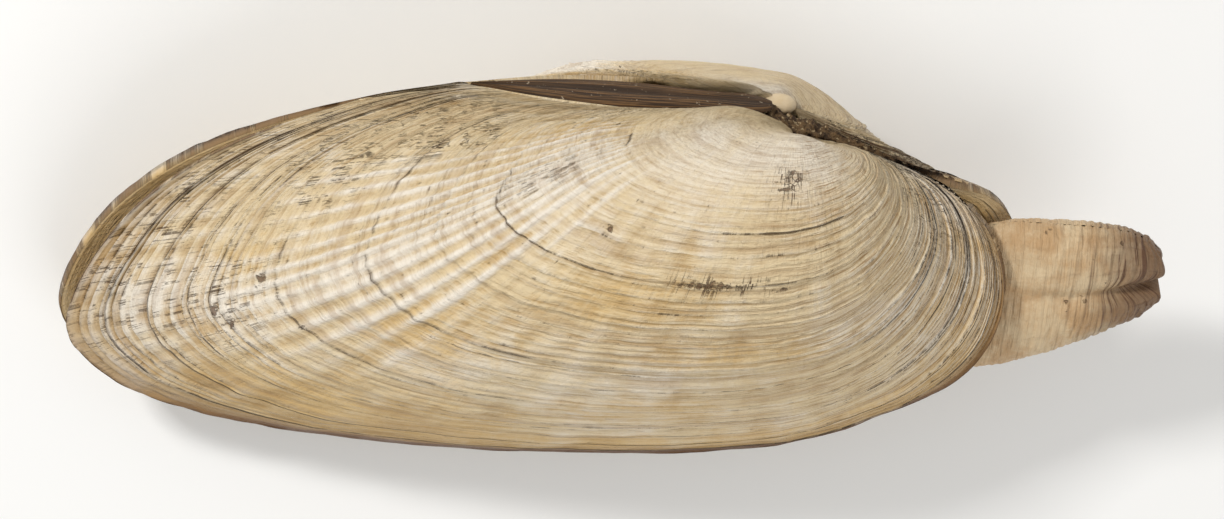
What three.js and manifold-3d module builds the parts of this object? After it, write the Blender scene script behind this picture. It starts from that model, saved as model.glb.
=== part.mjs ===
// Long gaping clam shell, both valves together, lying on its flatter side with a dried siphon in the end gape.
// Sizes in millimetres. In the shell's own frame x runs forward along the hinge, y towards the hinge side
// and z out of the upper valve; the finished shell is then leaned into the pose in which it rests.
import * as THREE from 'three';
import Module from 'manifold-3d';

const wasm = await Module();
wasm.setup();
const { Manifold, Mesh } = wasm;

// Valve outline: forward position and distance below the hinge line, from the rear end of the ligament
// round the rear tip, the lower edge and the front to the beak. Third value: how evenly that ray grew.
const UPPER_OUTLINE = [
  [-37.9, 0.0, 0.8],
  [-49.8, 3.3, 0.95],
  [-64.5, 10.2, 1.01],
  [-75.1, 18.9, 1.06],
  [-81.8, 30.0, 1.09],
  [-82.1, 38.1, 1.07],
  [-71.9, 45.3, 1.04],
  [-51.7, 49.5, 0.97],
  [-25.0, 49.7, 0.89],
  [-0.2, 46.8, 0.87],
  [13.8, 41.2, 0.88],
  [22.9, 32.1, 0.89],
  [26.5, 21.2, 0.88],
  [23.1, 11.9, 0.88],
  [13.3, 6.9, 0.88],
  [2.0, 3.2, 0.88],
];
const LOWER_FRONT_LENGTH = 1.9;
const LOWER_REAR_LENGTH = 1.8;

// How the valve opens as it grows: turn of each growth line about the hinge axis.
const GROWTH_RATE = 0.925;
const LOWER_GROWTH_RATE = 0.9;
const LARGEST_TURN = 1.365;
const AXIS_BELOW_HINGE = 0.32;
const HINGE_ROLL_SPREAD = 0.14;
const REAR_HINGE_ROLL = 0.25;
const LOWER_REAR_HINGE_ROLL = 0.45;
const FRONT_HINGE_PINCH = -0.55;
const FRONT_PINCH_SPREAD = 0.16;
const LOWER_FRONT_HINGE_PINCH = -0.66;
const LOWER_FRONT_PINCH_SPREAD = 0.24;
const UMBO_SHIFT = 0.52;
const LOWER_UMBO_SHIFT = -1.3;
const UMBO_RISE = 0.8;
const UMBO_RISE_STAGE = 0.1;
const UMBO_RISE_SPREAD = 0.09;
const BEAK_DROP = 2.8;
const BEAK_SHIFT = 0.8;
const BEAK_SHARPNESS = 24;
const FRONT_DROP = 2.6;
const CLOSING_ANGLE = THREE.MathUtils.degToRad(1.35);

// Gaps between the valves.
const EDGE_GAP = 0.15;
const LIGAMENT_GAP = 3.16;
const LIGAMENT_GAP_START = 2;
const LIGAMENT_GAP_LENGTH = 36;
const HINGE_GAP_DEPTH = 4.5;
const BEAK_GAP = 3.4;
const BEAK_GAP_CENTRE = 1.5;
const BEAK_GAP_SPREAD = 6.5;
const REAR_GAPE = 1.9;
const LOWER_REAR_GAPE = 0.9;
const REAR_GAPE_START = 48;
const REAR_GAPE_LENGTH = 30;
const FRONT_GAPE = 5.0;
const FRONT_GAPE_START = 6;
const FRONT_GAPE_LENGTH = 16;
const FRONT_GAPE_CENTRE = 24;
const FRONT_GAPE_REACH = 17;

// Walls.
const WALL = 2.3;
const EDGE_WALL = 1.0;

// Growth stages with a step in the surface, as a share of full growth, and the height of each step.
const LEDGES = [
  [0.253, 0.2],
  [0.33, 0.25],
  [0.419, 0.5],
  [0.5, 0.3],
  [0.596, 0.6],
  [0.655, 0.35],
  [0.714, 0.55],
  [0.775, 0.35],
  [0.835, 0.45],
  [0.891, 0.7],
  [0.945, 0.45],
];
const BEAK_STAGE = 0.03;
const INNER_BEAK_STAGE = 0.34;

// Raised rays on the rear half.
const RAY_COUNT = 16;
const FIRST_RAY = 0.14;
const LAST_RAY = 0.46;
const RAY_HEIGHT = 0.42;
const RAY_FROM_STAGE = 0.2;
const RAY_FADE_STAGE = 0.62;

// Siphon, in the middle plane between the valves: forward position, hinge-side edge, far-side edge,
// half thickness.
const SIPHON_SECTIONS = [
  [11.0, -20.0, -28.0, 0.9],
  [12.0, -18.6, -29.4, 1.6],
  [17.0, -16.4, -32.0, 2.0],
  [21.5, -14.9, -33.4, 2.3],
  [25.0, -13.8, -33.5, 2.6],
  [27.5, -13.2, -32.8, 3.2],
  [30.0, -13.2, -31.6, 3.9],
  [33.0, -13.2, -30.2, 4.2],
  [36.8, -13.2, -28.2, 4.0],
  [40.4, -13.5, -26.1, 3.5],
  [43.0, -14.5, -24.5, 2.8],
  [44.6, -16.0, -22.9, 1.7],
];
const SIPHON_AROUND = 24;
const SIPHON_GROOVE = 0.3;
const SIPHON_WRINKLE = 0.35;
const SIPHON_WRINKLE_HALF = 0.8;
const SIPHON_NOTCH = 1.9;
const SIPHON_NOTCH_SPREAD = 0.2;
const SIPHON_LOBE = 0.6;

// Ligament in the trough behind the beaks.
const LIGAMENT_REAR = -36.6;
const LIGAMENT_FRONT = -2.0;
const LIGAMENT_TAPER = 4;
const LIGAMENT_SIDE_GAP = 0.3;
const LIGAMENT_OFFSET = 0.1;
const LIGAMENT_TOP = 0.9;
const LIGAMENT_DEPTH = 1.2;
const LIGAMENT_FURROW = 0.3;

// Resting pose.
const LEAN = THREE.MathUtils.degToRad(20.5);
const NOSE = THREE.MathUtils.degToRad(-2);
const WORN_DEPTH = 0.3;

function clamp01(value) {
  return Math.min(1, Math.max(0, value));
}

function smooth(low, high, value) {
  const t = clamp01((value - low) / (high - low));
  return t * t * (3 - 2 * t);
}

// Smooth curve through the outline points, ray 0 to 1.
function outlineAt(ray, column) {
  const last = UPPER_OUTLINE.length - 1;
  const position = clamp01(ray) * last;
  const i = Math.min(Math.floor(position), last - 1);
  const f = position - i;
  const pick = (k) => {
    if (k < 0) return 2 * UPPER_OUTLINE[0][column] - UPPER_OUTLINE[1][column];
    if (k > last) return 2 * UPPER_OUTLINE[last][column] - UPPER_OUTLINE[last - 1][column];
    return UPPER_OUTLINE[k][column];
  };
  const a = pick(i - 1);
  const b = pick(i);
  const c = pick(i + 1);
  const d = pick(i + 2);
  const slope = c - a;
  const curve = 2 * a - 5 * b + 4 * c - d;
  const swing = 3 * b - a - 3 * c + d;
  return b + 0.5 * f * (slope + f * (curve + f * swing));
}

function growthTurn(stage, side) {
  const turn = -Math.log(stage) / (side > 0 ? GROWTH_RATE : LOWER_GROWTH_RATE);
  const knee = 0.7 * LARGEST_TURN;
  if (turn < knee) return turn;
  return knee + (LARGEST_TURN - knee) * Math.tanh((turn - knee) / (LARGEST_TURN - knee));
}

// Long oval opening along the hinge: half its width at a distance along it.
function slot(distance, length, width) {
  const share = clamp01(distance / length);
  return width * clamp01(4 * share * (1 - share)) ** 0.6;
}

// How far the hinge edges stand off the middle plane, behind the beaks and at them.
function hingeGap(x, down) {
  const behind = slot(-x - LIGAMENT_GAP_START, LIGAMENT_GAP_LENGTH, LIGAMENT_GAP);
  const beside = BEAK_GAP * Math.exp(-(((x - BEAK_GAP_CENTRE) / BEAK_GAP_SPREAD) ** 2));
  return (behind + beside) * Math.exp(-down / HINGE_GAP_DEPTH);
}

// Share of the full turn on a ray: more at the rear of the hinge, less at its front.
function turnShare(ray, side) {
  const roll = side > 0 ? REAR_HINGE_ROLL : LOWER_REAR_HINGE_ROLL;
  const pinch = side > 0 ? FRONT_HINGE_PINCH : LOWER_FRONT_HINGE_PINCH;
  const spread = side > 0 ? FRONT_PINCH_SPREAD : LOWER_FRONT_PINCH_SPREAD;
  const behind = roll * Math.exp(-((ray / HINGE_ROLL_SPREAD) ** 2));
  const before = pinch * Math.exp(-(((1 - ray) / spread) ** 2));
  return 1 + behind + before;
}

// How far the youngest shell stands above or below the hinge: swollen umbo, hooked beak, sunken front.
function umboLift(ray, stage) {
  const swollen = Math.exp(-(((stage - UMBO_RISE_STAGE) / UMBO_RISE_SPREAD) ** 2));
  const sunken = smooth(0.6, 0.95, ray) * (1 - stage) ** 3;
  const behind = 1 - smooth(0.55, 0.9, ray);
  return UMBO_RISE * swollen * behind - BEAK_DROP * (1 - stage) ** BEAK_SHARPNESS - FRONT_DROP * sunken;
}

// Plain surface of a valve, without ledges or rays. Side +1 is the upper valve, -1 the lower one.
function valvePoint(ray, stage, side) {
  const forward = outlineAt(ray, 0);
  const below = Math.max(0, outlineAt(ray, 1));
  const growth = outlineAt(ray, 2);
  const reach = Math.hypot(forward, below) * stage ** growth;
  const angle = Math.atan2(below, -forward);
  let x = -reach * Math.cos(angle);
  const down = reach * Math.sin(angle);
  const turn = growthTurn(stage, side) * turnShare(ray, side);
  const arm = down + AXIS_BELOW_HINGE;
  const rear = clamp01((-x - REAR_GAPE_START) / REAR_GAPE_LENGTH);
  const front = clamp01((x - FRONT_GAPE_START) / FRONT_GAPE_LENGTH);
  const fromGape = (down - FRONT_GAPE_CENTRE) / FRONT_GAPE_REACH;
  const frontLift = FRONT_GAPE * front * Math.max(0, 1 - fromGape * fromGape) * stage ** 5;
  const rearLift = (side > 0 ? REAR_GAPE : LOWER_REAR_GAPE) * rear * stage ** 8;
  const y0 = -arm * Math.cos(turn);
  const z0 = arm * Math.sin(turn) + hingeGap(x, down) + rearLift + frontLift;
  const opened = y0 * Math.cos(CLOSING_ANGLE) + z0 * Math.sin(CLOSING_ANGLE);
  const y = AXIS_BELOW_HINGE + opened + umboLift(ray, stage);
  const z = z0 * Math.cos(CLOSING_ANGLE) - y0 * Math.sin(CLOSING_ANGLE);
  x += (side > 0 ? UMBO_SHIFT : LOWER_UMBO_SHIFT) * (1 - stage);
  if (side > 0) x += BEAK_SHIFT * (1 - stage) ** BEAK_SHARPNESS;
  if (side < 0) x += (LOWER_FRONT_LENGTH * front - LOWER_REAR_LENGTH * rear) * stage ** 4;
  return new THREE.Vector3(x, y, side * z);
}

// Outward normal of the plain surface.
function valveNormal(ray, stage, side) {
  const dr = 0.004;
  const ds = 0.01 * stage;
  const r0 = Math.max(0.0005, ray - dr);
  const r1 = Math.min(0.9995, ray + dr);
  const s0 = stage - ds;
  const s1 = Math.min(1, stage + ds);
  const alongRay = valvePoint(ray, s1, side).sub(valvePoint(ray, s0, side));
  const across = valvePoint(r1, stage, side).sub(valvePoint(r0, stage, side));
  const normal = alongRay.cross(across).multiplyScalar(side);
  return normal.normalize();
}

// Height of ledges over the plain surface: each band of growth swells towards its edge.
function ledgeHeight(stage) {
  for (let i = 0; i < LEDGES.length; i += 1) {
    if (stage <= LEDGES[i][0]) {
      const start = i === 0 ? BEAK_STAGE : LEDGES[i - 1][0];
      const share = clamp01((stage - start) / (LEDGES[i][0] - start));
      return LEDGES[i][1] * (share * share - 0.45);
    }
  }
  return -0.2 * LEDGES[LEDGES.length - 1][1];
}

function rayHeight(ray, stage) {
  const position = ((ray - FIRST_RAY) / (LAST_RAY - FIRST_RAY)) * RAY_COUNT;
  if (position < 0 || position > RAY_COUNT) return 0;
  const wave = 0.5 - 0.5 * Math.cos(position * 2 * Math.PI);
  const edge = smooth(0, 2, position) * (1 - smooth(RAY_COUNT - 4, RAY_COUNT, position));
  const fade = smooth(RAY_FROM_STAGE, RAY_FROM_STAGE + 0.12, stage)
    * (1 - smooth(RAY_FADE_STAGE, 0.88, stage));
  return RAY_HEIGHT * wave * edge * fade;
}

function outerPoint(ray, stage, side) {
  const lift = ledgeHeight(stage) + rayHeight(ray, stage);
  const edge = Math.min(1, Math.min(ray, 1 - ray) / 0.03);
  const point = valvePoint(ray, stage, side);
  point.addScaledVector(valveNormal(ray, stage, side), lift * edge);
  point.z = side * Math.max(EDGE_GAP, side * point.z);
  return point;
}

function innerPoint(ray, stage, side) {
  const wall = THREE.MathUtils.lerp(WALL, EDGE_WALL, smooth(0.8, 1, stage));
  const point = valvePoint(ray, stage, side);
  point.addScaledVector(valveNormal(ray, stage, side), -wall);
  point.z = side * Math.max(EDGE_GAP, side * point.z);
  return point;
}

// Columns: close together over the rays so that crest and hollow each get one, wider elsewhere.
function outerColumns() {
  const columns = [0, 0.035, 0.07, 0.105];
  const half = (LAST_RAY - FIRST_RAY) / (2 * RAY_COUNT);
  for (let i = 0; i <= 2 * RAY_COUNT; i += 1) columns.push(FIRST_RAY + i * half);
  const rest = 21;
  for (let i = 1; i <= rest; i += 1) columns.push(LAST_RAY + ((1 - LAST_RAY) * i) / rest);
  return columns;
}

function outerRows() {
  const rows = [BEAK_STAGE, 0.06, 0.1, 0.15, 0.2];
  for (const [stage] of LEDGES) rows.push(stage, stage + 0.006);
  rows.push(1);
  return rows;
}

function evenSteps(low, high, count) {
  return Array.from({ length: count + 1 }, (_, i) => low + ((high - low) * i) / count);
}

// Collects points and triangles of one closed body.
class Skin {
  constructor() {
    this.points = [];
    this.faces = [];
  }

  add(point) {
    this.points.push(point.x, point.y, point.z);
    return this.points.length / 3 - 1;
  }

  face(a, b, c) {
    if (a !== b && b !== c && c !== a) this.faces.push(a, b, c);
  }

  pointAt(index) {
    return new THREE.Vector3(...this.points.slice(3 * index, 3 * index + 3));
  }

  sheet(grid, inward) {
    for (let i = 0; i + 1 < grid.length; i += 1) {
      for (let j = 0; j + 1 < grid[i].length; j += 1) {
        const a = grid[i][j];
        const b = grid[i][j + 1];
        const c = grid[i + 1][j + 1];
        const d = grid[i + 1][j];
        this.face(a, inward ? c : b, inward ? b : c);
        this.face(a, inward ? d : c, inward ? c : d);
      }
    }
  }

  fan(tip, ring, inward) {
    for (let j = 0; j + 1 < ring.length; j += 1) {
      this.face(tip, ring[inward ? j : j + 1], ring[inward ? j + 1 : j]);
    }
  }

  // Joins two lines of points that may have different counts, always across the shorter way.
  strip(first, second) {
    let i = 0;
    let j = 0;
    const gap = (a, b) => this.pointAt(a).distanceTo(this.pointAt(b));
    while (i + 1 < first.length || j + 1 < second.length) {
      const canFirst = i + 1 < first.length;
      const canSecond = j + 1 < second.length;
      if (canFirst && (!canSecond || gap(first[i + 1], second[j]) < gap(first[i], second[j + 1]))) {
        this.face(first[i], second[j], first[i + 1]);
        i += 1;
      } else {
        this.face(first[i], second[j], second[j + 1]);
        j += 1;
      }
    }
  }

  flip() {
    for (let k = 0; k < this.faces.length; k += 3) {
      const keep = this.faces[k];
      this.faces[k] = this.faces[k + 1];
      this.faces[k + 1] = keep;
    }
  }

  geometry() {
    const shape = new THREE.BufferGeometry();
    shape.setAttribute('position', new THREE.Float32BufferAttribute(this.points, 3));
    shape.setIndex(this.faces);
    return shape;
  }
}

function valveGeometry(side) {
  const skin = new Skin();
  const columns = outerColumns();
  const outer = outerRows().map((stage) => columns.map((ray) => skin.add(outerPoint(ray, stage, side))));
  skin.sheet(outer, false);
  const innerColumns = evenSteps(0, 1, 26);
  const inner = evenSteps(INNER_BEAK_STAGE, 1, 9)
    .map((stage) => innerColumns.map((ray) => skin.add(innerPoint(ray, stage, side))));
  skin.sheet(inner, true);
  const outerTip = skin.add(ringCentre(skin, outer[0], side, 0.5));
  skin.fan(outerTip, outer[0], false);
  const innerTip = skin.add(ringCentre(skin, inner[0], side, 0.5));
  skin.fan(innerTip, inner[0], true);
  const first = (row) => row[0];
  const last = (row) => row[row.length - 1];
  skin.strip([innerTip, ...inner.map(first)], [outerTip, ...outer.map(first)]);
  skin.strip(inner[inner.length - 1], outer[outer.length - 1]);
  skin.strip([innerTip, ...inner.map(last)].reverse(), [outerTip, ...outer.map(last)].reverse());
  if (side > 0) skin.flip();
  return skin.geometry();
}

// Middle of a row, pushed out a little to round the beak.
function ringCentre(skin, ring, side, push) {
  const centre = new THREE.Vector3();
  for (const index of ring) centre.addScaledVector(skin.pointAt(index), 1 / ring.length);
  centre.z = side * Math.max(EDGE_GAP, side * centre.z + push);
  return centre;
}

// Closed body from rings of equal count, with a point at each end.
function ringBody(rings, startPoint, endPoint) {
  const skin = new Skin();
  const grid = rings.map((ring) => ring.map((point) => skin.add(point)));
  const closed = grid.map((row) => [...row, row[0]]);
  skin.sheet(closed, false);
  skin.fan(skin.add(startPoint), closed[0], false);
  skin.fan(skin.add(endPoint), closed[closed.length - 1], true);
  return skin.geometry();
}

// Value of one column of a table of sections at a forward position.
function along(table, x, column) {
  let i = 0;
  while (i + 2 < table.length && x > table[i + 1][0]) i += 1;
  const share = clamp01((x - table[i][0]) / (table[i + 1][0] - table[i][0]));
  return THREE.MathUtils.lerp(table[i][column], table[i + 1][column], share);
}

function siphonPoint(x, angle) {
  const top = along(SIPHON_SECTIONS, x, 1);
  const bottom = along(SIPHON_SECTIONS, x, 2);
  const thick = along(SIPHON_SECTIONS, x, 3);
  const c = Math.cos(angle);
  const s = Math.sin(angle);
  const groove = 1 - SIPHON_GROOVE * Math.exp(-((c / 0.22) ** 2)) * smooth(26, 34, x);
  const wrinkle = SIPHON_WRINKLE * smooth(25, 34, x) * Math.sin(((x - 26) * Math.PI) / SIPHON_WRINKLE_HALF);
  const half = (top - bottom) / 2 + 0.4 * wrinkle;
  const z = (thick + wrinkle * 0.6) * Math.sign(s) * Math.abs(s) ** 0.75 * groove;
  const end = smooth(36, 44.6, x);
  const lobe = SIPHON_LOBE * Math.sin(Math.PI * Math.min(1, Math.abs(c) * 1.05));
  const notch = SIPHON_NOTCH * Math.exp(-((c / SIPHON_NOTCH_SPREAD) ** 2));
  return new THREE.Vector3(x + end * (lobe - notch), (top + bottom) / 2 + half * c, z);
}

function siphonGeometry() {
  const start = SIPHON_SECTIONS[0][0];
  const end = SIPHON_SECTIONS[SIPHON_SECTIONS.length - 1][0];
  const stations = [...evenSteps(start, 26, 8), ...evenSteps(26, end, 24).slice(1)];
  const rings = stations.map((x) => evenSteps(0, 2 * Math.PI, SIPHON_AROUND).slice(0, -1)
    .map((angle) => siphonPoint(x, angle)));
  const middle = (x) => (along(SIPHON_SECTIONS, x, 1) + along(SIPHON_SECTIONS, x, 2)) / 2;
  const startPoint = new THREE.Vector3(start - 0.4, middle(start), 0);
  const endPoint = new THREE.Vector3(end - SIPHON_NOTCH - 0.4, middle(end), 0);
  return ringBody(rings, startPoint, endPoint);
}

function ligamentPoint(x, angle) {
  const middle = (LIGAMENT_REAR + LIGAMENT_FRONT) / 2;
  const reach = (LIGAMENT_FRONT - LIGAMENT_REAR) / 2;
  const swell = 0.35 + 0.65 * Math.sqrt(clamp01(1 - ((x - middle) / reach) ** 2));
  const taper = Math.sqrt(clamp01((LIGAMENT_FRONT + 0.4 - x) / LIGAMENT_TAPER));
  const half = Math.max(0.15, (hingeGap(x, 0) - LIGAMENT_SIDE_GAP) * taper);
  const c = Math.cos(angle);
  const s = Math.sin(angle);
  const furrow = s > 0 ? LIGAMENT_FURROW * Math.exp(-((c / 0.25) ** 2)) : 0;
  const rise = s > 0 ? LIGAMENT_TOP : LIGAMENT_DEPTH;
  const narrow = s < 0 ? 1 + 0.7 * s : 1;
  return new THREE.Vector3(x, (s * rise - furrow) * swell - 0.2, LIGAMENT_OFFSET * swell - half * c * narrow);
}

function ligamentGeometry() {
  const stations = evenSteps(LIGAMENT_REAR, LIGAMENT_FRONT, 10);
  const rings = stations.map((x) => evenSteps(0, 2 * Math.PI, 12).slice(0, -1)
    .map((angle) => ligamentPoint(x, angle)));
  const startPoint = new THREE.Vector3(LIGAMENT_REAR - 0.4, -0.3, 0);
  const endPoint = new THREE.Vector3(LIGAMENT_FRONT + 0.4, -0.3, 0);
  return ringBody(rings, startPoint, endPoint);
}

function material(colour, roughness) {
  return new THREE.MeshStandardMaterial({ color: colour, roughness, metalness: 0 });
}

function solidOf(geometry) {
  return new Manifold(new Mesh({
    numProp: 3,
    vertProperties: geometry.getAttribute('position').array,
    triVerts: new Uint32Array(geometry.index.array),
  }));
}

function geometryOf(solid) {
  const mesh = solid.getMesh();
  const shape = new THREE.BufferGeometry();
  shape.setAttribute('position', new THREE.Float32BufferAttribute(mesh.vertProperties, 3));
  shape.setIndex(Array.from(mesh.triVerts));
  return shape;
}

// Cuts a piece back so that it keeps its gap from both valves.
function fitted(geometry, upper, lower) {
  let body = solidOf(geometry);
  for (const [wall, side] of [[solidOf(upper), 1], [solidOf(lower), -1]]) {
    const gap = LIGAMENT_SIDE_GAP;
    body = body.subtract(wall.translate([0, 0, -side * gap]));
    body = body.subtract(wall.translate([0, gap, 0]));
    body = body.subtract(wall.translate([0, 0.7 * gap, -side * 0.7 * gap]));
  }
  const parts = body.decompose();
  parts.sort((a, b) => b.volume() - a.volume());
  return geometryOf(parts[0]);
}

// Leans every piece into the resting pose and wears the lowest spot of the lower valve flat.
function buildShell() {
  const pose = new THREE.Matrix4().makeRotationY(NOSE)
    .multiply(new THREE.Matrix4().makeRotationX(LEAN));
  const pieces = {
    upper_valve: [valveGeometry(1), material(0xd8c9a6, 0.62)],
    lower_valve: [valveGeometry(-1), material(0xd2c09a, 0.66)],
    ligament: [ligamentGeometry(), material(0x5d4a38, 0.55)],
    siphon: [siphonGeometry(), material(0xb08c62, 0.6)],
  };
  pieces.ligament[0] = fitted(pieces.ligament[0], pieces.upper_valve[0], pieces.lower_valve[0]);
  for (const [geometry] of Object.values(pieces)) geometry.applyMatrix4(pose);
  const lower = pieces.lower_valve[0];
  lower.computeBoundingBox();
  const floor = lower.boundingBox.min.z + WORN_DEPTH;
  pieces.lower_valve[0] = geometryOf(solidOf(lower).trimByPlane([0, 0, 1], floor));
  const box = new THREE.Box3();
  for (const [geometry] of Object.values(pieces)) {
    geometry.computeBoundingBox();
    box.union(geometry.boundingBox);
  }
  const centre = box.getCenter(new THREE.Vector3());
  const group = new THREE.Group();
  group.name = 'gaping_clam_shell';
  for (const [name, [geometry, finish]] of Object.entries(pieces)) {
    geometry.translate(-centre.x, -centre.y, -floor);
    geometry.computeVertexNormals();
    const mesh = new THREE.Mesh(geometry, finish);
    mesh.name = name;
    group.add(mesh);
  }
  return group;
}

export default buildShell();
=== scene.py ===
import logging
import math
from dataclasses import dataclass
from enum import Enum

import bmesh
import bpy
import numpy as np
from mathutils import Matrix, Vector


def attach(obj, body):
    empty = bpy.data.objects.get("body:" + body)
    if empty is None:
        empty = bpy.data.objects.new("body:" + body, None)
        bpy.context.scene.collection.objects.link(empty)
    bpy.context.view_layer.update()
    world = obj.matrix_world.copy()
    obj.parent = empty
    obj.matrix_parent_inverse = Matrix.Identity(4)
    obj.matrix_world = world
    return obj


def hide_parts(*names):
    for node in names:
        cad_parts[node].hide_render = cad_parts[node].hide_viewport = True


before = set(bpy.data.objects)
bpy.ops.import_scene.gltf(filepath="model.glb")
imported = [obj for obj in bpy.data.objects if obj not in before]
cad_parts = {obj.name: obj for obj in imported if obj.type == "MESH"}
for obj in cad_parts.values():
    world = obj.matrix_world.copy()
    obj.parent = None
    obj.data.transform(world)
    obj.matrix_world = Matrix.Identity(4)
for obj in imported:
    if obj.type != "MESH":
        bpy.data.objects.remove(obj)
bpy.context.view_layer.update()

MM = 0.001
log = logging.getLogger("clam")


def smooth(low: float, high: float, value: np.ndarray) -> np.ndarray:
    """Soft step from 0 at low to 1 at high.

    Args:
        low: Where the step starts.
        high: Where the step ends.
        value: Numbers to put through the step.

    Returns:
        The stepped numbers.
    """
    share = np.clip((value - low) / (high - low), 0.0, 1.0)
    return share * share * (3.0 - 2.0 * share)


def bell(value: np.ndarray, middle: float, spread: float) -> np.ndarray:
    """Round bump of height 1.

    Args:
        value: Numbers to put through the bump.
        middle: Where the bump is highest.
        spread: How far from there it has fallen to about a third.

    Returns:
        The bump's height at each number.
    """
    return np.exp(-(((value - middle) / spread) ** 2))


def tint(red: int, green: int, blue: int) -> tuple[float, float, float, float]:
    """Linear colour from the three numbers of a paint chart.

    Args:
        red: Red, 0 to 255.
        green: Green, 0 to 255.
        blue: Blue, 0 to 255.

    Returns:
        The linear colour with a full fourth value.
    """
    parts = [c / 255.0 for c in (red, green, blue)]
    linear = [c / 12.92 if c <= 0.04045 else ((c + 0.055) / 1.055) ** 2.4 for c in parts]
    return (linear[0], linear[1], linear[2], 1.0)


class Side(Enum):
    """The two valves; the value is the way each one faces."""

    UPPER = 1
    LOWER = -1


@dataclass(frozen=True)
class Pose:
    """How the shell lies: leaned about its length, nose down a little, and where its hinge point is."""

    lean_deg: float = 20.5
    nose_deg: float = -2.0
    hinge_mm: tuple[float, float, float] = (19.3942, 22.4032, 26.2974)

    def turn(self) -> np.ndarray:
        """The pose's rotation.

        Returns:
            A 3 by 3 array.
        """
        lean = Matrix.Rotation(math.radians(self.lean_deg), 3, "X")
        nose = Matrix.Rotation(math.radians(self.nose_deg), 3, "Y")
        return np.array(nose @ lean)

    def place(self, points: np.ndarray) -> np.ndarray:
        """Moves points from the shell's own frame to the floor.

        Args:
            points: Points in millimetres, last axis x y z.

        Returns:
            The same points in metres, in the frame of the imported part.
        """
        return (points @ self.turn().T + np.array(self.hinge_mm)) * MM


@dataclass(frozen=True)
class Ripple:
    """Smooth chance relief over two coordinates, from -1 to 1."""

    seed: int
    across: float
    along: float
    size: int = 128

    def at(self, u: np.ndarray, v: np.ndarray) -> np.ndarray:
        """Height of the relief.

        Args:
            u: First coordinate.
            v: Second coordinate.

        Returns:
            Heights, one for each pair.
        """
        lattice = np.random.default_rng(self.seed).uniform(-1.0, 1.0, (self.size, self.size))
        x, y = np.broadcast_arrays(u * self.across, v * self.along)
        i, j = np.floor(x).astype(int), np.floor(y).astype(int)
        fx, fy = smooth(0.0, 1.0, x - i), smooth(0.0, 1.0, y - j)
        i, j, right, up = i % self.size, j % self.size, (i + 1) % self.size, (j + 1) % self.size
        near = lattice[i, j] * (1 - fx) + lattice[right, j] * fx
        far = lattice[i, up] * (1 - fx) + lattice[right, up] * fx
        return near * (1 - fy) + far * fy


@dataclass(frozen=True)
class Hinge:
    """Opening between the valves along the hinge line, in millimetres of the shell's own frame.

    A long slot behind the beaks, blunt at its front and pointed at its rear, holds the ligament.
    A round gap at the beaks holds packed dirt. Both close with depth below the hinge.
    """

    slot_front: float = -2.0
    slot_length: float = 36.0
    slot_half: float = 3.16
    front_bluntness: float = 0.6
    rear_sharpness: float = 1.3
    beak_gap: float = 3.4
    beak_middle: float = 1.5
    beak_spread: float = 6.5
    closing_depth: float = 4.5

    def half(self, x: np.ndarray) -> np.ndarray:
        """Half the opening on the hinge line.

        Args:
            x: How far forward.

        Returns:
            How far either valve's edge stands off the middle plane.
        """
        share = np.clip((self.slot_front - x) / self.slot_length, 0.0, 1.0)
        power = self.front_bluntness + (self.rear_sharpness - self.front_bluntness) * share
        slot = self.slot_half * np.clip(4 * share * (1 - share), 0.0, 1.0) ** power
        return slot + self.beak_gap * bell(x, self.beak_middle, self.beak_spread)

    def half_below(self, x: np.ndarray, depth: np.ndarray) -> np.ndarray:
        """Half the opening at a depth below the hinge line."""
        return self.half(x) * np.exp(-depth / self.closing_depth)


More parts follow.
